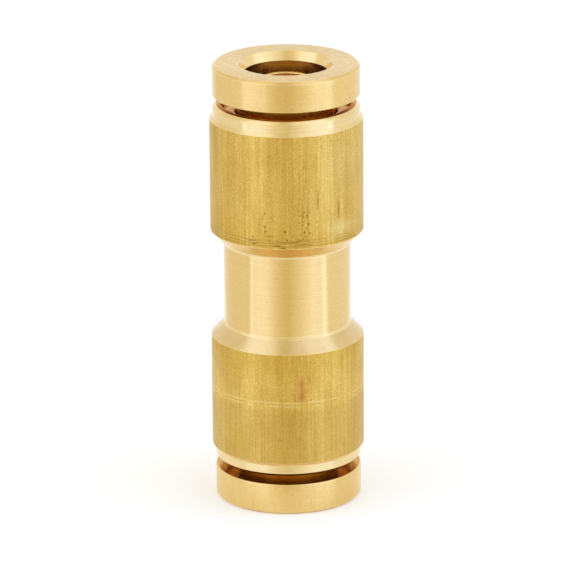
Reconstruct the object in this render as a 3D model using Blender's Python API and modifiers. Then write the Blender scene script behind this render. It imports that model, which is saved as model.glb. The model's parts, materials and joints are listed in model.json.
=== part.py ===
"""Push fit coupling for 1/4 inch nylon tube, turned from brass bar.

One body joins two identical sockets. Each socket holds, from its mouth inwards: a release collet with
slotted gripping fingers, a pressed-in wedge bush, a seal spacer, an O-ring and a tube support.
The coupling stands on its lower collet, with the origin at the centre of that collet's end face.
"""

import math

import bmesh
import bpy

MM = 0.001

# Facets round every turned piece. One count for all keeps coaxial facets in line.
FACETS = 48
SEAL_FACETS = 10
ARC_STEPS = 3
SHARP_ANGLE = math.radians(30)
MERGE_DISTANCE = 0.0001 * MM

# Tube that the sockets take
TUBE_RADIUS = 3.175 * MM
TUBE_WALL = 1.015 * MM
TUBE_CLEARANCE = 0.09 * MM

# Gap left between pieces that seat or press together, and round the sliding collet
SEAT_GAP = 0.04 * MM
RUNNING_GAP = 0.10 * MM

# Walls, from the tube outwards: collet fingers, wedge bush at its thin end, body, and the bar's own skin
FINGER_WALL = 0.585 * MM
BUSH_WALL = 0.46 * MM
BAND_WALL = 0.75 * MM
BAND_CUT = 0.25 * MM
WAIST_WALL = 1.715 * MM

# Body outside: two lengths of drawn bar, a turned waist between them and a turned band at each end
BODY_HALF_LENGTH = 14.46 * MM
BAND_LENGTH = 0.90 * MM
RIM_BREAK = 0.26 * MM
WAIST_HALF_LENGTH = 3.30 * MM
WAIST_FILLET = 0.35 * MM
WAIST_CHAMFER_ANGLE = math.radians(45)

# Body inside: the web in the middle that stops the tubes, and one socket's O-ring gland
FLOW_RADIUS = 1.5 * MM
WEB_HALF_THICKNESS = 2.4 * MM
GLAND_LENGTH = 1.9 * MM
GLAND_BREAK = 0.15 * MM
MOUTH_BREAK = 0.08 * MM

# Chamfer that guides the tube's end into the spacer and past the O-ring
TUBE_LEAD_IN = 0.25 * MM

# O-ring
SEAL_SECTION_RADIUS = 0.75 * MM
SEAL_SQUEEZE = 0.15 * MM

# Spacer between the O-ring and the collet's fingers
SPACER_THICKNESS = 0.8 * MM

# Wedge bush, pressed in below the body's rim, that keeps the collet in and closes its fingers on the tube
BUSH_RECESS = 0.50 * MM
BUSH_LAND_LENGTH = 0.65 * MM
BUSH_ENTRY_BREAK = 0.20 * MM
WEDGE_DEPTH = 0.55 * MM
WEDGE_LENGTH = 1.60 * MM
BUSH_FOOT_ROOM = 1.33 * MM

# Release collet: its flange stands off the body by the gap that it is pressed in by
RELEASE_GAP = 0.68 * MM
FLANGE_THICKNESS = 2.47 * MM
FLANGE_TOP_BREAK = 0.20 * MM
FLANGE_BACK_BREAK = 0.08 * MM
MOUTH_FLARE = 0.40 * MM
MOUTH_FLARE_DEPTH = 0.70 * MM
FINGER_FLARE_LENGTH = 1.08 * MM
FINGER_FOOT_LENGTH = 0.70 * MM
TOOTH_BITE = 0.12 * MM
TOOTH_PITCH = 0.50 * MM
TOOTH_FACE_RISE = 0.125 * MM
TOOTH_COUNT = 2
SLOT_CUTS = 3
SLOT_WIDTH = 0.55 * MM
SLOT_TOP_DROP = 0.10 * MM

# Tube support: a flanged sleeve that stands inside the tube's end
SUPPORT_WALL = 0.60 * MM
SUPPORT_CLEARANCE = 0.06 * MM
SUPPORT_FLANGE_THICKNESS = 0.6 * MM
SUPPORT_TIP_DROP = 1.2 * MM
SUPPORT_TIP_BREAK = 0.18 * MM

# Radii that follow from the tube and the walls
SUPPORT_RADIUS = TUBE_RADIUS - TUBE_WALL - SUPPORT_CLEARANCE
TUBE_BORE_RADIUS = TUBE_RADIUS + TUBE_CLEARANCE
COLLET_NECK_RADIUS = TUBE_BORE_RADIUS + FINGER_WALL
BUSH_BORE_RADIUS = COLLET_NECK_RADIUS + RUNNING_GAP
BUSH_RADIUS = BUSH_BORE_RADIUS + WEDGE_DEPTH + BUSH_WALL
SOCKET_RADIUS = BUSH_RADIUS + SEAT_GAP
BAND_RADIUS = SOCKET_RADIUS + BAND_WALL
BAR_RADIUS = BAND_RADIUS + BAND_CUT
WAIST_RADIUS = TUBE_BORE_RADIUS + WAIST_WALL
SEAL_CENTRE_RADIUS = TUBE_RADIUS - SEAL_SQUEEZE + SEAL_SECTION_RADIUS
GLAND_RADIUS = SEAL_CENTRE_RADIUS + SEAL_SECTION_RADIUS + SEAT_GAP

# Heights in one socket, from the body's middle outwards
BUSH_FACE = BODY_HALF_LENGTH - BUSH_RECESS
WEDGE_TOP = BUSH_FACE - BUSH_LAND_LENGTH
BUSH_INNER_END = WEDGE_TOP - WEDGE_LENGTH - BUSH_FOOT_ROOM
SPACER_SEAT = BUSH_INNER_END - SPACER_THICKNESS - 2 * SEAT_GAP
GLAND_FLOOR = SPACER_SEAT - GLAND_LENGTH
FLANGE_BACK = BODY_HALF_LENGTH + RELEASE_GAP
FLANGE_FACE = FLANGE_BACK + FLANGE_THICKNESS
MID_HEIGHT = FLANGE_FACE


def clear_scene():
    for obj in list(bpy.data.objects):
        bpy.data.objects.remove(obj)


def new_collection(name):
    collection = bpy.data.collections.new(name)
    bpy.context.scene.collection.children.link(collection)
    return collection


def new_material(name, colour, metallic, roughness):
    material = bpy.data.materials.new(name)
    material.use_nodes = True
    shader = material.node_tree.nodes["Principled BSDF"]
    shader.inputs["Base Color"].default_value = (*colour, 1.0)
    shader.inputs["Metallic"].default_value = metallic
    shader.inputs["Roughness"].default_value = roughness
    return material


def new_object(name, mesh, collection):
    obj = bpy.data.objects.new(name, mesh)
    collection.objects.link(obj)
    return obj


def new_end(name, turned_over):
    """An empty at the body's middle, whose +Z points out of one socket."""
    end = new_object(name, None, bpy.context.scene.collection)
    end.location.z = MID_HEIGHT
    end.rotation_euler.x = math.pi if turned_over else 0.0
    return end


def arc(centre, radius, start, stop):
    """Points of a round stretch of a profile, with angles in radians from the +radius direction."""
    points = []
    for step in range(ARC_STEPS + 1):
        angle = start + (stop - start) * step / ARC_STEPS
        points.append((centre[0] + radius * math.cos(angle), centre[1] + radius * math.sin(angle)))
    return points


def mirrored(points):
    """The same stretch of profile on the other half of the body, in running order."""
    return [(radius, -height) for radius, height in reversed(points)]


def turned_mesh(name, points, material, cutters=()):
    """The solid that a closed loop of (radius, height) points sweeps round Z, less what the cutters take.

    The loop lies in the XZ plane and runs down its outer side first.
    """
    profile = bpy.data.meshes.new(f"{name}_profile")
    edges = [(i, (i + 1) % len(points)) for i in range(len(points))]
    profile.from_pydata([(radius, 0.0, height) for radius, height in points], edges, [])
    blank = new_object(f"{name}_blank", profile, bpy.context.scene.collection)
    screw = blank.modifiers.new("turning", "SCREW")
    screw.axis = "Z"
    screw.angle = math.tau
    screw.steps = FACETS
    screw.render_steps = FACETS
    screw.use_merge_vertices = True
    screw.merge_threshold = MERGE_DISTANCE
    for cutter in cutters:
        cut = blank.modifiers.new(cutter.name, "BOOLEAN")
        cut.operation = "DIFFERENCE"
        cut.solver = "EXACT"
        cut.object = cutter
    bpy.context.view_layer.update()
    graph = bpy.context.evaluated_depsgraph_get()
    mesh = bpy.data.meshes.new_from_object(blank.evaluated_get(graph))
    bpy.data.objects.remove(blank)
    mesh.name = name
    mesh.shade_smooth()
    mesh.set_sharp_from_angle(angle=SHARP_ANGLE)
    mesh.materials.clear()
    mesh.materials.append(material)
    return mesh


def body_profile():
    """The body's outside and its stepped bore, mirrored about the middle."""
    rim = BODY_HALF_LENGTH
    chamfer_rise = (BAR_RADIUS - WAIST_RADIUS) / math.tan(WAIST_CHAMFER_ANGLE)
    bar_end = WAIST_HALF_LENGTH + chamfer_rise
    # The fillet touches the waist's cylinder and the chamfer's cone.
    fillet_reach = WAIST_FILLET * math.tan(WAIST_CHAMFER_ANGLE / 2)
    fillet_centre = (WAIST_RADIUS + WAIST_FILLET, WAIST_HALF_LENGTH - fillet_reach)
    outside = [
        (BAND_RADIUS - RIM_BREAK, rim),
        (BAND_RADIUS, rim - RIM_BREAK),
        (BAND_RADIUS, rim - BAND_LENGTH),
        (BAR_RADIUS, rim - BAND_LENGTH - BAND_CUT),
        (BAR_RADIUS, bar_end),
        *arc(fillet_centre, WAIST_FILLET, math.pi - WAIST_CHAMFER_ANGLE, math.pi),
    ]
    bore = [
        (FLOW_RADIUS, WEB_HALF_THICKNESS),
        (TUBE_BORE_RADIUS, WEB_HALF_THICKNESS),
        (TUBE_BORE_RADIUS, GLAND_FLOOR - TUBE_LEAD_IN),
        (TUBE_BORE_RADIUS + TUBE_LEAD_IN, GLAND_FLOOR),
        (GLAND_RADIUS, GLAND_FLOOR),
        (GLAND_RADIUS, SPACER_SEAT - GLAND_BREAK),
        (GLAND_RADIUS + GLAND_BREAK, SPACER_SEAT),
        (SOCKET_RADIUS, SPACER_SEAT),
        (SOCKET_RADIUS, rim - MOUTH_BREAK),
        (SOCKET_RADIUS + MOUTH_BREAK, rim),
    ]
    return outside + mirrored(outside) + mirrored(bore) + bore


def bush_profile():
    """A ring whose bore widens inwards, so that the collet's fingers wedge in it."""
    return [
        (BUSH_RADIUS - MOUTH_BREAK, BUSH_FACE),
        (BUSH_RADIUS, BUSH_FACE - MOUTH_BREAK),
        (BUSH_RADIUS, BUSH_INNER_END),
        (BUSH_BORE_RADIUS + WEDGE_DEPTH, BUSH_INNER_END),
        (BUSH_BORE_RADIUS + WEDGE_DEPTH, WEDGE_TOP - WEDGE_LENGTH),
        (BUSH_BORE_RADIUS, WEDGE_TOP),
        (BUSH_BORE_RADIUS, BUSH_FACE - BUSH_ENTRY_BREAK),
        (BUSH_BORE_RADIUS + BUSH_ENTRY_BREAK, BUSH_FACE),
    ]


def spacer_profile():
    bottom = SPACER_SEAT + SEAT_GAP
    top = bottom + SPACER_THICKNESS
    return [
        (BUSH_RADIUS, top),
        (BUSH_RADIUS, bottom),
        (TUBE_BORE_RADIUS, bottom),
        (TUBE_BORE_RADIUS, top - TUBE_LEAD_IN),
        (TUBE_BORE_RADIUS + TUBE_LEAD_IN, top),
    ]


def collet_profile():
    """A flanged sleeve with a flared mouth outside, wedge feet and biting teeth at the fingers' tips."""
    flare_top = WEDGE_TOP - RUNNING_GAP
    foot_top = flare_top - FINGER_FLARE_LENGTH
    tip = foot_top - FINGER_FOOT_LENGTH
    # The flare runs parallel to the bush's wedge.
    foot_radius = COLLET_NECK_RADIUS + WEDGE_DEPTH * FINGER_FLARE_LENGTH / WEDGE_LENGTH
    outside = [
        (BAND_RADIUS - FLANGE_TOP_BREAK, FLANGE_FACE),
        (BAND_RADIUS, FLANGE_FACE - FLANGE_TOP_BREAK),
        (BAND_RADIUS, FLANGE_BACK + FLANGE_BACK_BREAK),
        (BAND_RADIUS - FLANGE_BACK_BREAK, FLANGE_BACK),
        (COLLET_NECK_RADIUS, FLANGE_BACK),
        (COLLET_NECK_RADIUS, flare_top),
        (foot_radius, foot_top),
        (foot_radius, tip),
    ]
    # Each tooth has a steep face towards the body's middle and a long back that lets the tube in.
    tooth_radius = TUBE_RADIUS - TOOTH_BITE
    teeth = []
    for tooth in range(TOOTH_COUNT):
        root = tip + tooth * TOOTH_PITCH
        teeth += [(TUBE_BORE_RADIUS, root), (tooth_radius, root + TOOTH_FACE_RISE)]
    inside = teeth + [
        (TUBE_BORE_RADIUS, tip + TOOTH_COUNT * TOOTH_PITCH),
        (TUBE_BORE_RADIUS, FLANGE_FACE - MOUTH_FLARE_DEPTH),
        (TUBE_BORE_RADIUS + MOUTH_FLARE, FLANGE_FACE),
    ]
    return outside + inside


def support_profile():
    outer = SUPPORT_RADIUS
    inner = SUPPORT_RADIUS - SUPPORT_WALL
    foot = WEB_HALF_THICKNESS + SEAT_GAP
    tip = FLANGE_FACE - SUPPORT_TIP_DROP
    return [
        (outer - SUPPORT_TIP_BREAK, tip),
        (outer, tip - SUPPORT_TIP_BREAK),
        (outer, foot + SUPPORT_FLANGE_THICKNESS),
        (TUBE_BORE_RADIUS - SEAT_GAP, foot + SUPPORT_FLANGE_THICKNESS),
        (TUBE_BORE_RADIUS - SEAT_GAP, foot),
        (inner, foot),
        (inner, tip),
    ]


def make_slot_cutters(cutters):
    """Bars through the collet's axis: each cuts two opposite slots from the fingers' tips upwards."""
    bottom = BUSH_INNER_END
    top = BUSH_FACE - SLOT_TOP_DROP
    bars = []
    for cut in range(SLOT_CUTS):
        shape = bmesh.new()
        bmesh.ops.create_cube(shape, size=1.0)
        bmesh.ops.scale(shape, vec=(2 * SOCKET_RADIUS, SLOT_WIDTH, top - bottom), verts=shape.verts)
        bmesh.ops.translate(shape, vec=(0, 0, (top + bottom) / 2), verts=shape.verts)
        mesh = bpy.data.meshes.new(f"slot_bar_{cut}")
        shape.to_mesh(mesh)
        shape.free()
        bar = new_object(f"slot_bar_{cut}", mesh, cutters)
        bar.rotation_euler.z = math.pi * cut / SLOT_CUTS
        bar.hide_render = True
        bar.display_type = "WIRE"
        bars.append(bar)
    return bars


def make_seal(name, end, collection, material):
    """An O-ring in its gland, resting on the gland's floor and a little tighter than the tube."""
    bpy.ops.mesh.primitive_torus_add(
        major_segments=FACETS,
        minor_segments=SEAL_FACETS,
        major_radius=SEAL_CENTRE_RADIUS,
        minor_radius=SEAL_SECTION_RADIUS,
    )
    seal = bpy.context.object
    seal.name = name
    for owner in list(seal.users_collection):
        owner.objects.unlink(seal)
    collection.objects.link(seal)
    seal.data.shade_smooth()
    seal.data.materials.append(material)
    seal.parent = end
    seal.location.z = GLAND_FLOOR + SEAL_SECTION_RADIUS + SEAT_GAP
    return seal


def main():
    clear_scene()
    parts = new_collection("push_fit_coupling")
    cutters = new_collection("cutters")
    drawn = new_material("drawn_brass", (0.68, 0.50, 0.17), 1.0, 0.38)
    turned = new_material("turned_brass", (0.81, 0.60, 0.28), 1.0, 0.25)
    rubber = new_material("nitrile_rubber", (0.02, 0.02, 0.02), 0.0, 0.55)

    body = new_object("body", turned_mesh("body", body_profile(), drawn), parts)
    body.location.z = MID_HEIGHT

    slot_bars = make_slot_cutters(cutters)
    socket_meshes = {
        "collet": turned_mesh("collet", collet_profile(), turned, slot_bars),
        "wedge_bush": turned_mesh("wedge_bush", bush_profile(), turned),
        "seal_spacer": turned_mesh("seal_spacer", spacer_profile(), turned),
        "tube_support": turned_mesh("tube_support", support_profile(), turned),
    }
    for side, turned_over in (("upper", False), ("lower", True)):
        end = new_end(f"{side}_socket", turned_over)
        for piece, mesh in socket_meshes.items():
            new_object(f"{side}_{piece}", mesh, parts).parent = end
        make_seal(f"{side}_o_ring", end, parts, rubber)


main()
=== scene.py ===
import json
import math

import bmesh
import bpy
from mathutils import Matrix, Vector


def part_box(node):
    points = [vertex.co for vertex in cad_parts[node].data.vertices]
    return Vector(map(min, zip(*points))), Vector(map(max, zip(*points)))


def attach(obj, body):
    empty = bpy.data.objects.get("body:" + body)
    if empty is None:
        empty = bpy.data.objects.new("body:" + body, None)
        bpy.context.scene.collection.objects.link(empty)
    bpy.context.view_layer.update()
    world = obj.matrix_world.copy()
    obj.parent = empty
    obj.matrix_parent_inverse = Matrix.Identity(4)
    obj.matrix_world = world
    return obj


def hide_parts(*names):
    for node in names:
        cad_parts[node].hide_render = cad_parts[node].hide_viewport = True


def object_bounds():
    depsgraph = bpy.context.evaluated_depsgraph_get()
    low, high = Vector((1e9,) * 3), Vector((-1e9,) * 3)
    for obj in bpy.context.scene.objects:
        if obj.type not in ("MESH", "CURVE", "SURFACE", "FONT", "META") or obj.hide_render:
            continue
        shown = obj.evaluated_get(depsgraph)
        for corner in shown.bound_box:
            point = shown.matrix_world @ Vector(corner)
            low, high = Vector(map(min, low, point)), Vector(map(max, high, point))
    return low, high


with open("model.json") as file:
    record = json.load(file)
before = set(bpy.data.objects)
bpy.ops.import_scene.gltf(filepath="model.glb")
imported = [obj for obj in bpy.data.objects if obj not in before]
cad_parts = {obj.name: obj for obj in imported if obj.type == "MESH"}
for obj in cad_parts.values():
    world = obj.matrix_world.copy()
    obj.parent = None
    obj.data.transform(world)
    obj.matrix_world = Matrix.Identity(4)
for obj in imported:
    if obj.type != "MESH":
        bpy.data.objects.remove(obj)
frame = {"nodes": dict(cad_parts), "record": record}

cad_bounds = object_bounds()

MM = 0.001
MIDDLE = cad_bounds[1][2] / 2


def extent(node):
    """A node's outer radius, then its lower and upper ends above the coupling's middle, in mm."""
    low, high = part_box(node)
    return high.x / MM, (low.z - MIDDLE) / MM, (high.z - MIDDLE) / MM


# Sizes in mm, of the upper socket: radii from the axis, and heights from the coupling's middle
BAR_RADIUS, _, RIM = extent("body")
FLANGE_RADIUS, FINGER_TIP, END_FACE = extent("upper_collet")
BUSH_RADIUS, BUSH_FOOT, BUSH_FACE = extent("upper_wedge_bush")
SUPPORT_FLANGE_RADIUS, SUPPORT_FOOT, SUPPORT_TIP = extent("upper_tube_support")
SPACER_FOOT = extent("upper_seal_spacer")[1]
SEAL_RADIUS = extent("upper_o_ring")[0]

# Gaps between pieces that seat together, and round the sliding collet
SEAT_GAP = 0.04
RUNNING_GAP = 0.10

# Body
BAND_RADIUS = FLANGE_RADIUS
BAND_LENGTH = 0.90
RIM_BREAK = 0.26
WAIST_RADIUS = 4.98
WAIST_HALF_LENGTH = 3.30
WAIST_FILLET = 0.35
FLOW_RADIUS = 1.50
TUBE_BORE_RADIUS = SUPPORT_FLANGE_RADIUS + SEAT_GAP
SOCKET_RADIUS = BUSH_RADIUS + SEAT_GAP
WEB_HALF_THICKNESS = SUPPORT_FOOT - SEAT_GAP
SPACER_SEAT = SPACER_FOOT - SEAT_GAP
GLAND_RADIUS = SEAL_RADIUS + SEAT_GAP
GLAND_LENGTH = 1.90
GLAND_BREAK = 0.15
TUBE_LEAD_IN = 0.25
MOUTH_BREAK = 0.08

# Wedge bush
NECK_RADIUS = 3.85
BUSH_BORE_RADIUS = NECK_RADIUS + RUNNING_GAP
BUSH_LAND_LENGTH = 0.65
BUSH_ENTRY_BREAK = 0.20
WEDGE_DEPTH = 0.55
WEDGE_LENGTH = 1.60
WEDGE_TOP = BUSH_FACE - BUSH_LAND_LENGTH

# Collet
FLANGE_THICKNESS = 2.47
FLANGE_FACE_BREAK = 0.20
FLANGE_BACK_BREAK = 0.08
MOUTH_FLARE = 0.40
MOUTH_FLARE_DEPTH = 0.70
FINGER_FLARE_LENGTH = 1.08
FINGER_FOOT_LENGTH = 0.70
TOOTH_HEIGHT = 0.21
TOOTH_PITCH = 0.50
TOOTH_FACE_RISE = 0.125
TOOTH_COUNT = 2
SLOT_CUTS = 3
SLOT_WIDTH = 0.55
SLOT_TOP_DROP = 0.10

# Tube support
SUPPORT_RADIUS = 2.10
SUPPORT_FLANGE_THICKNESS = 0.60
SUPPORT_TIP_BREAK = 0.18

# How far edges are rounded, in mm: not at all, as the tool left them, handled, and worn
SHARP = 0
CRISP = 0.03
EASED = 0.05
SOFT = 0.09

# Facets round a turned piece and over a rounded edge, which takes at most EDGE_SHARE of the
# stretches beside it. An edge rounded by less than WORN_BELOW, in mm, is a worn one, paler partly
# from wear and partly as a painted highlight.
SEGMENTS = 160
EDGE_STEPS = 4
EDGE_SHARE = 0.48
WORN_BELOW = 0.2
SHARP_ANGLE = math.radians(40)

# Stretches of the drawn bar, in mm: middle, half width and width of the soft edge
PITTED_ACROSS = (-0.4, 2.4, 1.6)
PITTED_ALONG = (6.3, 1.5, 1.6)
PITTED_EDGE_ALONG = (5.2, 0.8, 1.2)
PIT_CHAIN_ACROSS = (1.4, 0.36, 0.3)
PIT_CHAIN_ALONG = (6.7, 1.6, 0.6)
YELLOW_FROM_MIDDLE = (4.5, 1.6, 1.6)
DULL_END_ALONG = (-11.9, 3.0, 0.5)

# How far a mark on the drawn bar wanders along it, in mm
MARK_WANDER = 0.3

# Pits in the drawn bar: cells in a mm along X, Y and Z, and a pit's least reach in its cell,
# how far that varies, and how steeply a pit's edge and depth come in
PIT_CELLS_PER_MM = (5.2, 5.2, 3.6)
PIT_REACH = 0.22
PIT_REACH_SPREAD = 0.32
PIT_EDGE_GAIN = 5.0
PIT_DEPTH_GAIN = 9.0

# Share of the cells that hold a pit: over the whole patch, more at its lower edge, and in the chain
PITTED_SHARE = 0.26
PITTED_EDGE_SHARE = 0.16
PIT_CHAIN_SHARE = 0.75

# Roughness of the drawn skin and how far it varies, and how far a turned finish varies
DRAWN_ROUGHNESS = 0.33
DRAWN_SPREAD = 0.12
TURNED_SPREAD = 0.10

# Marks that the tool left in a mm, and how far they change round the piece
TOOL_MARKS_PER_MM = 14.0
TOOL_DRIFT = 0.25

# Depth of the tool's marks and of the bar's grain, in metres
TURNED_DEPTH = 0.00002
DRAWN_DEPTH = 0.00003

# Floor, in metres: round, with a soft edge. Its middle is behind the coupling and it ends just in
# front, so that the metal sees the studio below too. The drop keeps it off the lower face.
FLOOR_BACK = 0.024
FLOOR_DROP = 0.00001
FLOOR_RADIUS = 0.034
FLOOR_FADE = 0.010
FLOOR_GLOW = 0.22
FLOOR_COLOUR = (0.87, 0.90, 0.95, 1)

# The most light that a level below may ask for
LIGHT_PEAK = 2.0

# Light by bearing: degrees round the coupling, where 0 is the camera's side and 90 is the right,
# then red, green and blue. Each soft box ends in a bright line, near -70 and 70.
LIGHT = (
    (-180, 1.02, 1.03, 1.06),
    (-160, 1.00, 1.00, 1.00),
    (-138, 0.93, 0.90, 0.85),
    (-100, 0.92, 0.89, 0.83),
    (-86, 0.95, 0.93, 0.88),
    (-80, 0.93, 0.92, 0.82),
    (-72, 0.93, 0.92, 0.82),
    (-70, 1.27, 1.34, 1.64),
    (-67, 1.27, 1.34, 1.64),
    (-63, 1.10, 1.14, 1.32),
    (-53, 1.17, 1.22, 1.41),
    (-38, 1.15, 1.19, 1.34),
    (-20, 0.93, 0.88, 0.75),
    (0, 0.78, 0.70, 0.48),
    (24, 0.98, 0.96, 0.90),
    (47, 1.16, 1.22, 1.43),
    (66, 1.11, 1.19, 1.43),
    (68, 1.26, 1.44, 1.86),
    (75, 1.26, 1.44, 1.86),
    (78, 1.00, 1.00, 1.00),
    (84, 0.97, 0.97, 0.96),
    (140, 0.97, 0.97, 0.97),
    (180, 1.02, 1.03, 1.06),
)

# Light from overhead by bearing, and the heights between which it fades in, as sines of the angle
CEILING = (
    (-180, 1.02, 1.03, 1.06),
    (-150, 0.86, 0.80, 0.66),
    (-97, 0.90, 0.86, 0.70),
    (-86, 1.24, 1.30, 1.50),
    (-50, 1.18, 1.18, 1.20),
    (-20, 0.84, 0.77, 0.54),
    (0, 0.78, 0.71, 0.50),
    (20, 0.94, 0.91, 0.82),
    (62, 1.14, 1.18, 1.30),
    (95, 1.22, 1.30, 1.50),
    (100, 0.96, 0.93, 0.84),
    (150, 0.88, 0.82, 0.70),
    (180, 1.02, 1.03, 1.06),
)
CEILING_FROM = 0.2
CEILING_TO = 0.6

# Light from far below, and the depths between which it fades in, as sines of the angle
BELOW = (0.94, 0.91, 0.84)
BELOW_FROM = 0.45
BELOW_TO = 0.75

# Camera
LENS = 316.6
SENSOR_WIDTH = 36
CAMERA_SHIFT = (-0.0005, -0.00254)
CAMERA_DISTANCE = 0.39672
CAMERA_TILT = math.radians(17.884)
CAMERA_ROLL = math.radians(-0.39)
CLIP_START = 0.01
CLIP_END = 10


def srgb(r, g, b):
    """A colour of 0 to 255 a channel, as the linear colour that a shader takes."""
    def linear(value):
        value /= 255
        return value / 12.92 if value <= 0.04045 else ((value + 0.055) / 1.055) ** 2.4
    return (linear(r), linear(g), linear(b), 1.0)


# The drawn bar's skin and its marks
SKIN_DARK = srgb(182, 144, 54)
SKIN_PALE = srgb(246, 212, 120)
SKIN_CLOUD = srgb(190, 150, 60)
SKIN_YELLOW = srgb(190, 148, 20)
SKIN_DULL = srgb(178, 141, 68)
SCRATCH = srgb(110, 72, 16)
STAIN = srgb(140, 96, 24)
SMEAR = srgb(176, 100, 46)
RUBBED = srgb(234, 214, 146)

# Marks on turned brass. A turn, in radians, sets each set of hairlines apart from the other.
HANDLED = srgb(196, 152, 78)
NICK = srgb(120, 84, 30)
HAIRLINES = ((0.5, srgb(250, 228, 170)), (-0.7, srgb(178, 134, 62)))
HAIRLINE_CELLS_PER_MM = (9.0, 9.0, 0.5)

RUBBER_BLACK = srgb(28, 28, 28)
RUBBER_BLOOM = srgb(48, 48, 48)


# Node helpers

def new_material(name):
    material = bpy.data.materials.new(name)
    material.use_nodes = True
    return material, material.node_tree, material.node_tree.nodes["Principled BSDF"]


def add(tree, kind, **settings):
    node = tree.nodes.new(kind)
    for key, value in settings.items():
        setattr(node, key, value)
    return node


def feed(tree, value, socket):
    """Sets a socket to a plain value, or links it to another node's output."""
    if isinstance(value, (int, float, tuple)):
        socket.default_value = value
    else:
        tree.links.new(value, socket)


def math_node(tree, operation, *values, clamp=False):
    node = add(tree, "ShaderNodeMath", operation=operation, use_clamp=clamp)
    for value, socket in zip(values, node.inputs):
        feed(tree, value, socket)
    return node.outputs[0]


def product(tree, first, *others):
    for other in others:
        first = math_node(tree, "MULTIPLY", first, other)
    return first


def mixed(tree, *shares):
    """The sum of (value, weight) pairs."""
    total = 0.0
    for value, weight in shares:
        total = math_node(tree, "MULTIPLY_ADD", value, weight, total)
    return total


def mix_colour(tree, factor, a, b):
    node = add(tree, "ShaderNodeMix", data_type="RGBA")
    feed(tree, factor, node.inputs[0])
    feed(tree, a, node.inputs[6])
    feed(tree, b, node.inputs[7])
    return node.outputs[2]


def ramp(tree, source, *stops):
    """Grey levels or colours at places from 0 to 1."""
    node = add(tree, "ShaderNodeValToRGB")
    elements = node.color_ramp.elements
    while len(elements) < len(stops):
        elements.new(0.5)
    for element, (position, value) in zip(elements, stops):
        element.position = position
        element.color = value if isinstance(value, tuple) else (value, value, value, 1.0)
    feed(tree, source, node.inputs[0])
    return node.outputs[0]


def coords_in_mm(tree, scale=(1.0, 1.0, 1.0), turn=(0.0, 0.0, 0.0)):
    """The piece's own coordinates in mm, scaled and turned, so that marks stay with the piece."""
    coords = add(tree, "ShaderNodeTexCoord")
    mapping = add(tree, "ShaderNodeMapping")
    mapping.inputs["Rotation"].default_value = turn
    mapping.inputs["Scale"].default_value = tuple(share / MM for share in scale)
    feed(tree, coords.outputs["Object"], mapping.inputs["Vector"])
    return mapping.outputs["Vector"]


def split(tree, vector):
    node = add(tree, "ShaderNodeSeparateXYZ")
    feed(tree, vector, node.inputs[0])
    return node.outputs


def noise(tree, vector, detail=3.0, roughness=0.6):
    node = add(tree, "ShaderNodeTexNoise")
    node.inputs["Scale"].default_value = 1.0
    node.inputs["Detail"].default_value = detail
    node.inputs["Roughness"].default_value = roughness
    feed(tree, vector, node.inputs["Vector"])
    return node.outputs["Fac"]


def grain_noise(tree, *per_mm, **settings):
    """Noise with about that many marks in a mm along X, Y and Z."""
    return noise(tree, coords_in_mm(tree, per_mm), **settings)


def near(tree, value, centre, half_width, soft):
    """1 near centre and 0 far from it. The fall between is soft wide, its middle at half_width."""
    away = math_node(tree, "ABSOLUTE", math_node(tree, "SUBTRACT", value, centre))
    return math_node(tree, "MULTIPLY_ADD", away, -1 / soft, half_width / soft + 0.5, clamp=True)


def length_of(tree, vector):
    node = add(tree, "ShaderNodeVectorMath", operation="LENGTH")
    feed(tree, vector, node.inputs[0])
    return node.outputs["Value"]


def tool_path(tree):
    """Coordinates across the tool's marks: outwards on a face, along the axis on a side."""
    radius = length_of(tree, coords_in_mm(tree, (1.0, 1.0, 0.0)))
    x, y, z = split(tree, coords_in_mm(tree, (TOOL_DRIFT, TOOL_DRIFT, TOOL_MARKS_PER_MM)))
    path = add(tree, "ShaderNodeCombineXYZ")
    feed(tree, x, path.inputs["X"])
    feed(tree, y, path.inputs["Y"])
    marks = math_node(tree, "MULTIPLY_ADD", radius, TOOL_MARKS_PER_MM, z)
    feed(tree, marks, path.inputs["Z"])
    return path.outputs[0]


def metal(tree, shader, colour, roughness, height, strength, depth, brushed, brush_turn):
    """Joins colour, gloss, bump and the direction of the brushing to a metal's shader."""
    feed(tree, colour, shader.inputs["Base Color"])
    feed(tree, roughness, shader.inputs["Roughness"])
    shader.inputs["Metallic"].default_value = 1.0
    shader.inputs["Anisotropic"].default_value = brushed
    shader.inputs["Anisotropic Rotation"].default_value = brush_turn
    tangent = add(tree, "ShaderNodeTangent", direction_type="RADIAL", axis="Z")
    feed(tree, tangent.outputs[0], shader.inputs["Tangent"])
    bump = add(tree, "ShaderNodeBump")
    bump.inputs["Strength"].default_value = strength
    bump.inputs["Distance"].default_value = depth
    feed(tree, height, bump.inputs["Height"])
    feed(tree, bump.outputs["Normal"], shader.inputs["Normal"])


# Materials

def hair_scratches(tree, colour, strength):
    """Fine bright and dark hairlines along the axis, which are specks on a flat face."""
    for turn, shade in HAIRLINES:
        cells = coords_in_mm(tree, HAIRLINE_CELLS_PER_MM, (turn, turn, 0.4 * turn))
        hair = ramp(tree, noise(tree, cells, detail=1.0), (0.66, 0.0), (0.74, 1.0))
        colour = mix_colour(tree, product(tree, hair, strength), colour, shade)
    return colour


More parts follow.
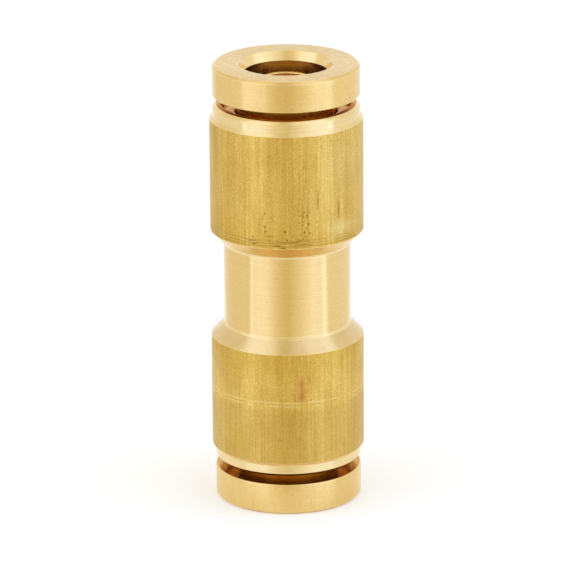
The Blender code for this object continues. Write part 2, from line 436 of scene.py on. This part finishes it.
def turned_brass(name, low, high, gloss, rings=1.0, grain=0.6, dull=0.0, scratches=0.0):
    """Bright turned brass: the tool's rings, a fine grain, uneven gloss and a few dark nicks."""
    material, tree, shader = new_material(name)
    ring_marks = noise(tree, tool_path(tree), roughness=0.75)
    specks = grain_noise(tree, 6.0, 6.0, 9.0, roughness=0.7)
    cloud = grain_noise(tree, 0.35, 0.35, 0.5)
    total = rings + grain
    marks = mixed(tree, (specks, grain / total), (ring_marks, rings / total))
    colour = mix_colour(tree, ramp(tree, marks, (0.33, 0.0), (0.67, 1.0)), low, high)
    if dull:
        touch = grain_noise(tree, 0.33, 0.33, 0.05, detail=2.0)
        handled = ramp(tree, touch, (0.40, 1.0), (0.60, 0.0))
        colour = mix_colour(tree, product(tree, handled, dull), colour, HANDLED)
    if scratches:
        colour = hair_scratches(tree, colour, scratches)
    nicks = ramp(tree, grain_noise(tree, 3.1, 3.1, 3.4, detail=1.0), (0.79, 0.0), (0.82, 0.5))
    colour = mix_colour(tree, nicks, colour, NICK)
    roughness = math_node(tree, "MULTIPLY_ADD", cloud, TURNED_SPREAD, gloss - TURNED_SPREAD / 2)
    metal(
        tree, shader, colour, roughness, height=marks, strength=0.2, depth=TURNED_DEPTH,
        brushed=0.6, brush_turn=0.25,
    )
    return material


# Marks on the bar's front: place across and along it and reach across and along it, in mm,
# then strength and colour
BAR_MARKS = (
    (0.45, 4.88, 1.90, 0.070, 1.3, SCRATCH),
    (1.35, 4.62, 1.00, 0.060, 1.1, SCRATCH),
    (-2.75, 4.95, 0.65, 0.070, 1.0, SCRATCH),
    (-2.55, 4.70, 0.40, 0.085, 1.3, SCRATCH),
    (-0.75, 4.58, 0.40, 0.085, 1.3, SCRATCH),
    (-0.25, 4.42, 0.30, 0.090, 1.4, SCRATCH),
    (-1.35, 5.35, 0.50, 0.090, 1.0, STAIN),
    (1.20, 6.90, 0.09, 1.50, 0.7, STAIN),
    (1.62, 7.30, 0.09, 1.80, 0.8, STAIN),
    (2.40, 8.10, 0.09, 1.20, 1.2, STAIN),
    (4.00, 7.10, 0.14, 1.30, 1.1, STAIN),
    (4.40, 11.00, 2.20, 4.40, 0.4, RUBBED),
    (4.30, 5.60, 1.60, 1.00, 1.0, RUBBED),
    (1.08, -6.75, 0.36, 1.00, 0.9, SMEAR),
    (1.08, -7.75, 0.40, 0.80, 1.1, SMEAR),
    (1.65, -6.45, 0.20, 0.55, 0.5, SMEAR),
)

# Scratches right round the bar: height and half width in mm, strength, the noise level below which
# the bar is bare, and colour
RING_SCRATCHES = (
    (4.98, 0.03, 0.45, 0.44, STAIN),
    (4.74, 0.03, 0.50, 0.40, STAIN),
    (4.52, 0.03, 0.50, 0.36, STAIN),
    (-8.28, 0.06, 0.60, 0.34, RUBBED),
    (-8.58, 0.06, 0.55, 0.42, RUBBED),
)


def pit_marks(tree, x, z, front):
    """Pits on the upper length's front, more at its lower edge, with a short chain up from it."""
    cells = add(tree, "ShaderNodeTexVoronoi")
    cells.inputs["Scale"].default_value = 1.0
    feed(tree, coords_in_mm(tree, PIT_CELLS_PER_MM), cells.inputs["Vector"])
    lot, size, _ = split(tree, cells.outputs["Color"])
    reach = math_node(tree, "MULTIPLY_ADD", size, PIT_REACH_SPREAD, PIT_REACH)
    inside = math_node(tree, "SUBTRACT", reach, cells.outputs["Distance"])
    dots = math_node(tree, "MULTIPLY", inside, PIT_EDGE_GAIN, clamp=True)
    patch = product(tree, near(tree, x, *PITTED_ACROSS), near(tree, z, *PITTED_ALONG))
    chain = product(tree, near(tree, x, *PIT_CHAIN_ACROSS), near(tree, z, *PIT_CHAIN_ALONG))
    low_edge = product(tree, patch, near(tree, z, *PITTED_EDGE_ALONG))
    pitted = mixed(
        tree, (patch, PITTED_SHARE), (low_edge, PITTED_EDGE_SHARE), (chain, PIT_CHAIN_SHARE),
    )
    chosen = math_node(tree, "SUBTRACT", pitted, lot)
    depth = math_node(tree, "MULTIPLY", chosen, PIT_DEPTH_GAIN, clamp=True)
    return product(tree, front, dots, depth)


def placed_marks(tree, colour, streaks, x, z, front):
    """Scratches, stains and rubbed places that fade to their ends and are broken by the streaks."""
    wander = grain_noise(tree, 0.9, 0.9, 0.9)
    height = mixed(tree, (z, 1.0), (wander, MARK_WANDER))
    broken = product(tree, front, ramp(tree, streaks, (0.42, 0.3), (0.56, 1.0)))
    for across, along, reach_across, reach_along, strength, shade in BAR_MARKS:
        wide = near(tree, x, across, reach_across / 2, reach_across)
        high = near(tree, height, along + MARK_WANDER / 2, reach_along / 2, reach_along)
        colour = mix_colour(tree, product(tree, wide, high, broken, strength), colour, shade)
    return colour


def ring_scratches(tree, colour, z):
    """Broken lines right round the bar."""
    wander = grain_noise(tree, 0.25, 0.25, 0.0)
    height = mixed(tree, (z, 1.0), (wander, MARK_WANDER))
    gaps = grain_noise(tree, 0.8, 0.8, 0.8)
    for along, half_width, strength, bare, shade in RING_SCRATCHES:
        line = near(tree, height, along + MARK_WANDER / 2, half_width, half_width)
        drawn_line = ramp(tree, gaps, (bare, 0.0), (bare + 0.12, strength))
        colour = mix_colour(tree, product(tree, line, drawn_line), colour, shade)
    return colour


def drawn_brass(name):
    """Drawn bar left as supplied: a dull skin with lines along it, pits, scratches and a smear."""
    material, tree, shader = new_material(name)
    lines = grain_noise(tree, 9.0, 9.0, 0.15, detail=4.0, roughness=0.7)
    broad = grain_noise(tree, 1.6, 1.6, 0.05, detail=2.0)
    cloud = grain_noise(tree, 0.5, 0.5, 0.35, detail=4.0)
    grain = grain_noise(tree, 9.0, 9.0, 7.0, roughness=0.85)
    streaks = mixed(tree, (lines, 0.32), (broad, 0.18), (grain, 0.50))
    skin = ramp(tree, streaks, (0.36, 0.0), (0.64, 1.0))
    colour = mix_colour(tree, skin, SKIN_DARK, SKIN_PALE)
    colour = mix_colour(tree, ramp(tree, cloud, (0.45, 0.0), (0.75, 0.40)), colour, SKIN_CLOUD)
    x, y, z = split(tree, coords_in_mm(tree))
    front = math_node(tree, "LESS_THAN", y, 0.0)
    yellow = near(tree, math_node(tree, "ABSOLUTE", z), *YELLOW_FROM_MIDDLE)
    colour = mix_colour(tree, product(tree, yellow, 0.2), colour, SKIN_YELLOW)
    dull = near(tree, z, *DULL_END_ALONG)
    colour = mix_colour(tree, product(tree, dull, 0.26), colour, SKIN_DULL)
    pits = pit_marks(tree, x, z, front)
    colour = mix_colour(tree, product(tree, pits, 0.75), colour, SCRATCH)
    colour = placed_marks(tree, colour, streaks, x, z, front)
    colour = ring_scratches(tree, colour, z)
    roughness = math_node(tree, "MULTIPLY_ADD", cloud, DRAWN_SPREAD, DRAWN_ROUGHNESS)
    height = mixed(tree, (lines, 1.0), (grain, 0.3), (pits, -0.6))
    metal(
        tree, shader, colour, roughness, height, strength=0.35, depth=DRAWN_DEPTH,
        brushed=0.4, brush_turn=0.0,
    )
    return material


def rubber(name):
    """Black seal rubber with a faint bloom."""
    material, tree, shader = new_material(name)
    bloom = grain_noise(tree, 4.0, 4.0, 4.0)
    colour = mix_colour(tree, bloom, RUBBER_BLACK, RUBBER_BLOOM)
    feed(tree, colour, shader.inputs["Base Color"])
    shader.inputs["Roughness"].default_value = 0.6
    return material


def floor_paper(name):
    """White paper that keeps the coupling's shadow and fades out at its edge."""
    material, tree, shader = new_material(name)
    shader.inputs["Base Color"].default_value = FLOOR_COLOUR
    shader.inputs["Roughness"].default_value = 0.9
    shader.inputs["Specular IOR Level"].default_value = 0.0
    shader.inputs["Emission Color"].default_value = (1, 1, 1, 1)
    path = add(tree, "ShaderNodeLightPath").outputs
    seen = math_node(tree, "MAXIMUM", path["Is Camera Ray"], path["Is Glossy Ray"])
    seen = math_node(tree, "MAXIMUM", seen, path["Is Transmission Ray"])
    feed(tree, product(tree, seen, FLOOR_GLOW), shader.inputs["Emission Strength"])
    from_middle = length_of(tree, coords_in_mm(tree))
    paper = near(tree, from_middle, 0.0, FLOOR_RADIUS / MM, FLOOR_FADE / MM)
    feed(tree, paper, shader.inputs["Alpha"])
    return material


# Finishes, some with painted light or shade: darkest and palest colour and roughness
turned = turned_brass(
    "turned_brass", srgb(227, 195, 129), srgb(242, 212, 146), 0.15, rings=0.8, grain=0.8,
)
# Lit and shaded copies of the turned brass: facing up paler, a painted highlight; facing down,
# painted shade
lit_shoulder = turned_brass("shoulder_up_painted_highlight_brass", srgb(220, 192, 138), srgb(240, 214, 162), 0.16)
shaded_shoulder = turned_brass("shoulder_down_painted_shade_brass", srgb(218, 182, 104), srgb(238, 204, 128), 0.22)
# The waist's fillets are paler: a painted highlight of the light from overhead.
fillet_highlight = turned_brass("fillet_painted_highlight_brass", srgb(234, 208, 150), srgb(248, 224, 170), 0.16)
# Worn edges: paler partly from real wear and partly as a painted highlight along the edge.
worn_highlit_edge = turned_brass("worn_edge_painted_highlight_brass", srgb(236, 206, 140), srgb(248, 220, 160), 0.18)
band = turned_brass("band_brass", srgb(230, 204, 146), srgb(248, 224, 168), 0.16)
collar = turned_brass(
    "collar_brass", srgb(228, 195, 123), srgb(245, 214, 145), 0.25,
    rings=0.5, grain=0.8, dull=0.2, scratches=0.2,
)
face = turned_brass(
    "face_brass", srgb(208, 172, 104), srgb(250, 222, 158), 0.27,
    rings=0.6, grain=1.2, scratches=0.2,
)
# The collet's mouth flare is paler: a painted highlight on its polished chamfer.
flare_highlight = turned_brass("flare_painted_highlight_brass", srgb(236, 206, 146), srgb(250, 227, 170), 0.15)
# Brass in the gaps and socket, the neck, flange back, rim faces and bush, is darker and more
# saturated: painted shade and painted warm bounced light.
shaded_inner = turned_brass("inner_painted_shade_brass", srgb(198, 142, 44), srgb(216, 164, 60), 0.22)
# The collet's bore and teeth are darker still: painted shade inside the bore.
shaded_bore = turned_brass("bore_painted_shade_brass", srgb(168, 122, 58), srgb(192, 144, 78), 0.26)
drawn = drawn_brass("drawn_brass")
nitrile = rubber("nitrile_rubber")


# Turned profiles: corners of (radius, height, rounding, material of the stretch that follows)

def body_outside(shoulder):
    """One half of the body's outside, from the rim to the waist, with the shoulder's painted light
    or shade.
    """
    band_end = RIM - BAND_LENGTH
    bar_end = WAIST_HALF_LENGTH + BAR_RADIUS - WAIST_RADIUS
    return [
        (BAND_RADIUS - RIM_BREAK, RIM, EASED, band),
        (BAND_RADIUS, RIM - RIM_BREAK, SOFT, band),
        (BAND_RADIUS, band_end, CRISP, band),
        (BAR_RADIUS, band_end - BAR_RADIUS + BAND_RADIUS, EASED, drawn),
        (BAR_RADIUS, bar_end, EASED, shoulder),
        (WAIST_RADIUS, WAIST_HALF_LENGTH, WAIST_FILLET, turned),
    ]


def body_profile():
    """The body's outside and its stepped bore. The shoulder facing up is the paler one: painted
    light.
    """
    gland_floor = SPACER_SEAT - GLAND_LENGTH
    bore = [
        (FLOW_RADIUS, WEB_HALF_THICKNESS, SHARP, turned),
        (TUBE_BORE_RADIUS, WEB_HALF_THICKNESS, SHARP, turned),
        (TUBE_BORE_RADIUS, gland_floor - TUBE_LEAD_IN, SHARP, turned),
        (TUBE_BORE_RADIUS + TUBE_LEAD_IN, gland_floor, SHARP, turned),
        (GLAND_RADIUS, gland_floor, SHARP, turned),
        (GLAND_RADIUS, SPACER_SEAT - GLAND_BREAK, SHARP, turned),
        (GLAND_RADIUS + GLAND_BREAK, SPACER_SEAT, SHARP, turned),
        (SOCKET_RADIUS, SPACER_SEAT, SHARP, turned),
        (SOCKET_RADIUS, RIM - MOUTH_BREAK, SHARP, turned),
        (SOCKET_RADIUS + MOUTH_BREAK, RIM, SHARP, shaded_inner),
    ]
    lower_outside = mirrored(body_outside(lit_shoulder), shaded_inner)
    return body_outside(shaded_shoulder) + lower_outside + mirrored(bore, turned) + bore


def mirrored(corners, first):
    """The other half's corners in running order, each stretch with its own material.

    A stretch is named by its other end there, so first is what runs up to the first corner.
    """
    materials = [corner[3] for corner in corners]
    before = [first] + materials[:-1]
    other_half = []
    for (radius, height, rounding, _), material in zip(corners, before):
        other_half.insert(0, (radius, -height, rounding, material))
    return other_half


def collet_profile():
    """A flanged sleeve with a flared mouth, and wedge feet and teeth at the fingers' tips."""
    back = END_FACE - FLANGE_THICKNESS
    foot_top = FINGER_TIP + FINGER_FOOT_LENGTH
    foot_radius = NECK_RADIUS + WEDGE_DEPTH * FINGER_FLARE_LENGTH / WEDGE_LENGTH
    outside = [
        (FLANGE_RADIUS - FLANGE_FACE_BREAK, END_FACE, EASED, collar),
        (FLANGE_RADIUS, END_FACE - FLANGE_FACE_BREAK, SOFT, collar),
        (FLANGE_RADIUS, back + FLANGE_BACK_BREAK, EASED, collar),
        (FLANGE_RADIUS - FLANGE_BACK_BREAK, back, CRISP, shaded_inner),
        (NECK_RADIUS, back, SHARP, shaded_inner),
        (NECK_RADIUS, foot_top + FINGER_FLARE_LENGTH, SHARP, shaded_inner),
        (foot_radius, foot_top, SHARP, shaded_inner),
        (foot_radius, FINGER_TIP, SHARP, shaded_inner),
    ]
    teeth = []
    for tooth in range(TOOTH_COUNT):
        root = FINGER_TIP + tooth * TOOTH_PITCH
        teeth.append((TUBE_BORE_RADIUS, root, SHARP, shaded_bore))
        teeth.append((TUBE_BORE_RADIUS - TOOTH_HEIGHT, root + TOOTH_FACE_RISE, SHARP, shaded_bore))
    mouth = [
        (TUBE_BORE_RADIUS, FINGER_TIP + TOOTH_COUNT * TOOTH_PITCH, SHARP, shaded_bore),
        (TUBE_BORE_RADIUS, END_FACE - MOUTH_FLARE_DEPTH, CRISP, flare_highlight),
        (TUBE_BORE_RADIUS + MOUTH_FLARE, END_FACE, EASED, face),
    ]
    return outside + teeth + mouth


def bush_profile():
    """A ring whose bore widens inwards."""
    wedge_radius = BUSH_BORE_RADIUS + WEDGE_DEPTH
    return [
        (BUSH_RADIUS - MOUTH_BREAK, BUSH_FACE, SHARP, shaded_inner),
        (BUSH_RADIUS, BUSH_FACE - MOUTH_BREAK, SHARP, shaded_inner),
        (BUSH_RADIUS, BUSH_FOOT, SHARP, shaded_inner),
        (wedge_radius, BUSH_FOOT, SHARP, shaded_inner),
        (wedge_radius, WEDGE_TOP - WEDGE_LENGTH, SHARP, shaded_inner),
        (BUSH_BORE_RADIUS, WEDGE_TOP, SHARP, shaded_inner),
        (BUSH_BORE_RADIUS, BUSH_FACE - BUSH_ENTRY_BREAK, CRISP, shaded_inner),
        (BUSH_BORE_RADIUS + BUSH_ENTRY_BREAK, BUSH_FACE, CRISP, shaded_inner),
    ]


def support_profile():
    """A flanged sleeve."""
    flange_top = SUPPORT_FOOT + SUPPORT_FLANGE_THICKNESS
    return [
        (SUPPORT_RADIUS - SUPPORT_TIP_BREAK, SUPPORT_TIP, EASED, turned),
        (SUPPORT_RADIUS, SUPPORT_TIP - SUPPORT_TIP_BREAK, EASED, turned),
        (SUPPORT_RADIUS, flange_top, SHARP, turned),
        (SUPPORT_FLANGE_RADIUS, flange_top, SHARP, turned),
        (SUPPORT_FLANGE_RADIUS, SUPPORT_FOOT, SHARP, turned),
        (FLOW_RADIUS, SUPPORT_FOOT, SHARP, turned),
        (FLOW_RADIUS, SUPPORT_TIP, EASED, turned),
    ]


# Meshes

def rounded(before, corner, after):
    """Points (radius, height) of a curve over one corner's rounded edge."""
    radius, height, rounding, _ = corner
    sides = []
    lengths = []
    for other in (before, after):
        length = math.hypot(other[0] - radius, other[1] - height)
        sides.append(((other[0] - radius) / length, (other[1] - height) / length))
        lengths.append(length)
    (ax, az), (bx, bz) = sides
    angle = math.acos(max(-1, min(1, ax * bx + az * bz)))
    reach = min(rounding / math.tan(angle / 2), EDGE_SHARE * lengths[0], EDGE_SHARE * lengths[1])
    points = []
    for step in range(EDGE_STEPS + 1):
        share = step / EDGE_STEPS
        a = (1 - share) ** 2 * reach
        b = share ** 2 * reach
        points.append((radius + ax * a + bx * b, height + az * a + bz * b))
    return points


def outline(corners):
    """A profile with its edges rounded: points of (radius, height, material of what follows)."""
    points = []
    for i, corner in enumerate(corners):
        radius, height, rounding, material = corner
        if rounding:
            *curve, last = rounded(corners[i - 1], corner, corners[(i + 1) % len(corners)])
            # Small rounded edges get worn brass with a painted highlight, larger ones the fillet's
            # painted highlight
            over_edge = worn_highlit_edge if rounding < WORN_BELOW else fillet_highlight
            points += [(*point, over_edge) for point in curve]
            radius, height = last
        points.append((radius, height, material))
    return points


def turned_mesh(name, corners):
    """The closed shape that a profile sweeps round the axis."""
    points = outline(corners)
    materials = list(dict.fromkeys(material for _, _, material in points))
    shape = bmesh.new()
    rings = []
    for radius, height, _ in points:
        ring = []
        for segment in range(SEGMENTS):
            turn = math.tau * segment / SEGMENTS
            place = (radius * MM * math.cos(turn), radius * MM * math.sin(turn), height * MM)
            ring.append(shape.verts.new(place))
        rings.append(ring)
    for i, ring in enumerate(rings):
        after = rings[(i + 1) % len(rings)]
        for segment in range(SEGMENTS):
            beside = (segment + 1) % SEGMENTS
            quad = shape.faces.new((ring[segment], after[segment], after[beside], ring[beside]))
            quad.smooth = True
            quad.material_index = materials.index(points[i][2])
    mesh = bpy.data.meshes.new(name)
    shape.to_mesh(mesh)
    shape.free()
    mesh.set_sharp_from_angle(angle=SHARP_ANGLE)
    for material in materials:
        mesh.materials.append(material)
    return mesh


def new_object(name, mesh):
    obj = bpy.data.objects.new(name, mesh)
    bpy.context.scene.collection.objects.link(obj)
    return obj


def slot_bar(turn):
    """A bar through the collet's axis that cuts two opposite slots up from the fingers' tips."""
    top = BUSH_FACE - SLOT_TOP_DROP
    shape = bmesh.new()
    bmesh.ops.create_cube(shape, size=MM)
    bmesh.ops.scale(shape, vec=(2 * SOCKET_RADIUS, SLOT_WIDTH, top - BUSH_FOOT), verts=shape.verts)
    bmesh.ops.translate(shape, vec=(0, 0, (top + BUSH_FOOT) / 2 * MM), verts=shape.verts)
    mesh = bpy.data.meshes.new("slot_bar")
    shape.to_mesh(mesh)
    shape.free()
    bar = new_object("slot_bar", mesh)
    bar.rotation_euler.z = turn
    return bar


def slotted(mesh):
    """The collet's mesh with its slots cut."""
    blank = new_object("collet_blank", mesh)
    bars = [slot_bar(math.pi * cut / SLOT_CUTS) for cut in range(SLOT_CUTS)]
    for bar in bars:
        cut = blank.modifiers.new("slot", "BOOLEAN")
        cut.operation = "DIFFERENCE"
        cut.solver = "EXACT"
        cut.object = bar
    bpy.context.view_layer.update()
    graph = bpy.context.evaluated_depsgraph_get()
    result = bpy.data.meshes.new_from_object(blank.evaluated_get(graph))
    for obj in [blank, *bars]:
        bpy.data.objects.remove(obj)
    return result


# Pieces

def body_of(node):
    """The moving body that a CAD node belongs to."""
    bodies = frame["record"]["behaviour"]["bodies"]
    return next(body for body, nodes in bodies.items() if node in nodes)


def dress(node, mesh, turned_over=False):
    """Puts a finished mesh in the place of a CAD node, on the same body."""
    piece = new_object(f"{node}_brass", mesh)
    piece.location.z = MIDDLE
    piece.rotation_euler.x = math.pi if turned_over else 0.0
    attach(piece, body_of(node))
    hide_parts(node)


def finish_node(node, material):
    """Gives a CAD node that keeps its own shape a finished material."""
    materials = frame["nodes"][node].data.materials
    materials.clear()
    materials.append(material)


def make_coupling():
    dress("body", turned_mesh("body_brass", body_profile()))
    socket_meshes = {
        "collet": slotted(turned_mesh("collet_brass", collet_profile())),
        "wedge_bush": turned_mesh("bush_brass", bush_profile()),
        "tube_support": turned_mesh("support_brass", support_profile()),
    }
    for side, turned_over in (("upper", False), ("lower", True)):
        for piece, mesh in socket_meshes.items():
            dress(f"{side}_{piece}", mesh, turned_over)
        finish_node(f"{side}_seal_spacer", turned)
        finish_node(f"{side}_o_ring", nitrile)


# Stage

def make_floor():
    reach = FLOOR_RADIUS + FLOOR_FADE
    corners = [(-reach, -reach, 0), (reach, -reach, 0), (reach, reach, 0), (-reach, reach, 0)]
    mesh = bpy.data.meshes.new("floor")
    mesh.from_pydata(corners, [], [(0, 1, 2, 3)])
    mesh.materials.append(floor_paper("floor_paper"))
    floor = new_object("floor", mesh)
    floor.location = (0, FLOOR_BACK, -FLOOR_DROP)


def light_colour(level):
    """A level of light as a share of the brightest one, which a ramp can hold."""
    return (*(share / LIGHT_PEAK for share in level), 1.0)


def light_ramp(tree, place, levels):
    """Light by bearing. A place of 0 to 1 is a full turn."""
    stops = [(degrees / 360 + 0.5, light_colour(level)) for degrees, *level in levels]
    return ramp(tree, place, *stops)


def make_studio():
    """A pale room with soft boxes at the sides and overhead, and a warm stretch by the camera."""
    world = bpy.data.worlds.new("studio")
    bpy.context.scene.world = world
    world.use_nodes = True
    tree = world.node_tree
    direction = add(tree, "ShaderNodeTexCoord").outputs["Generated"]
    x, y, z = split(tree, direction)
    bearing = math_node(tree, "ARCTAN2", x, math_node(tree, "MULTIPLY", y, -1.0))
    place = math_node(tree, "MULTIPLY_ADD", bearing, 1 / math.tau, 0.5)
    overhead = ramp(tree, z, (CEILING_FROM, 0.0), (CEILING_TO, 1.0))
    walls = light_ramp(tree, place, LIGHT)
    ceiling = light_ramp(tree, place, CEILING)
    colour = mix_colour(tree, overhead, walls, ceiling)
    depth = math_node(tree, "MULTIPLY", z, -1.0)
    below = ramp(tree, depth, (BELOW_FROM, 0.0), (BELOW_TO, 1.0))
    colour = mix_colour(tree, below, colour, light_colour(BELOW))
    background = tree.nodes["Background"]
    feed(tree, colour, background.inputs["Color"])
    background.inputs["Strength"].default_value = LIGHT_PEAK


def make_camera():
    data = bpy.data.cameras.new("camera")
    data.sensor_fit = "HORIZONTAL"
    data.sensor_width = SENSOR_WIDTH
    data.lens = LENS
    data.shift_x, data.shift_y = CAMERA_SHIFT
    data.clip_start = CLIP_START
    data.clip_end = CLIP_END
    camera = new_object("camera", data)
    back = CAMERA_DISTANCE * math.cos(CAMERA_TILT)
    camera.location = (0, -back, MIDDLE + CAMERA_DISTANCE * math.sin(CAMERA_TILT))
    camera.rotation_euler = (math.pi / 2 - CAMERA_TILT, 0, 0)
    camera.rotation_euler.rotate_axis("Z", CAMERA_ROLL)
    bpy.context.scene.camera = camera


make_coupling()
make_floor()
make_studio()
make_camera()
bpy.context.scene.view_settings.view_transform = "Standard"

bpy.context.view_layer.update()
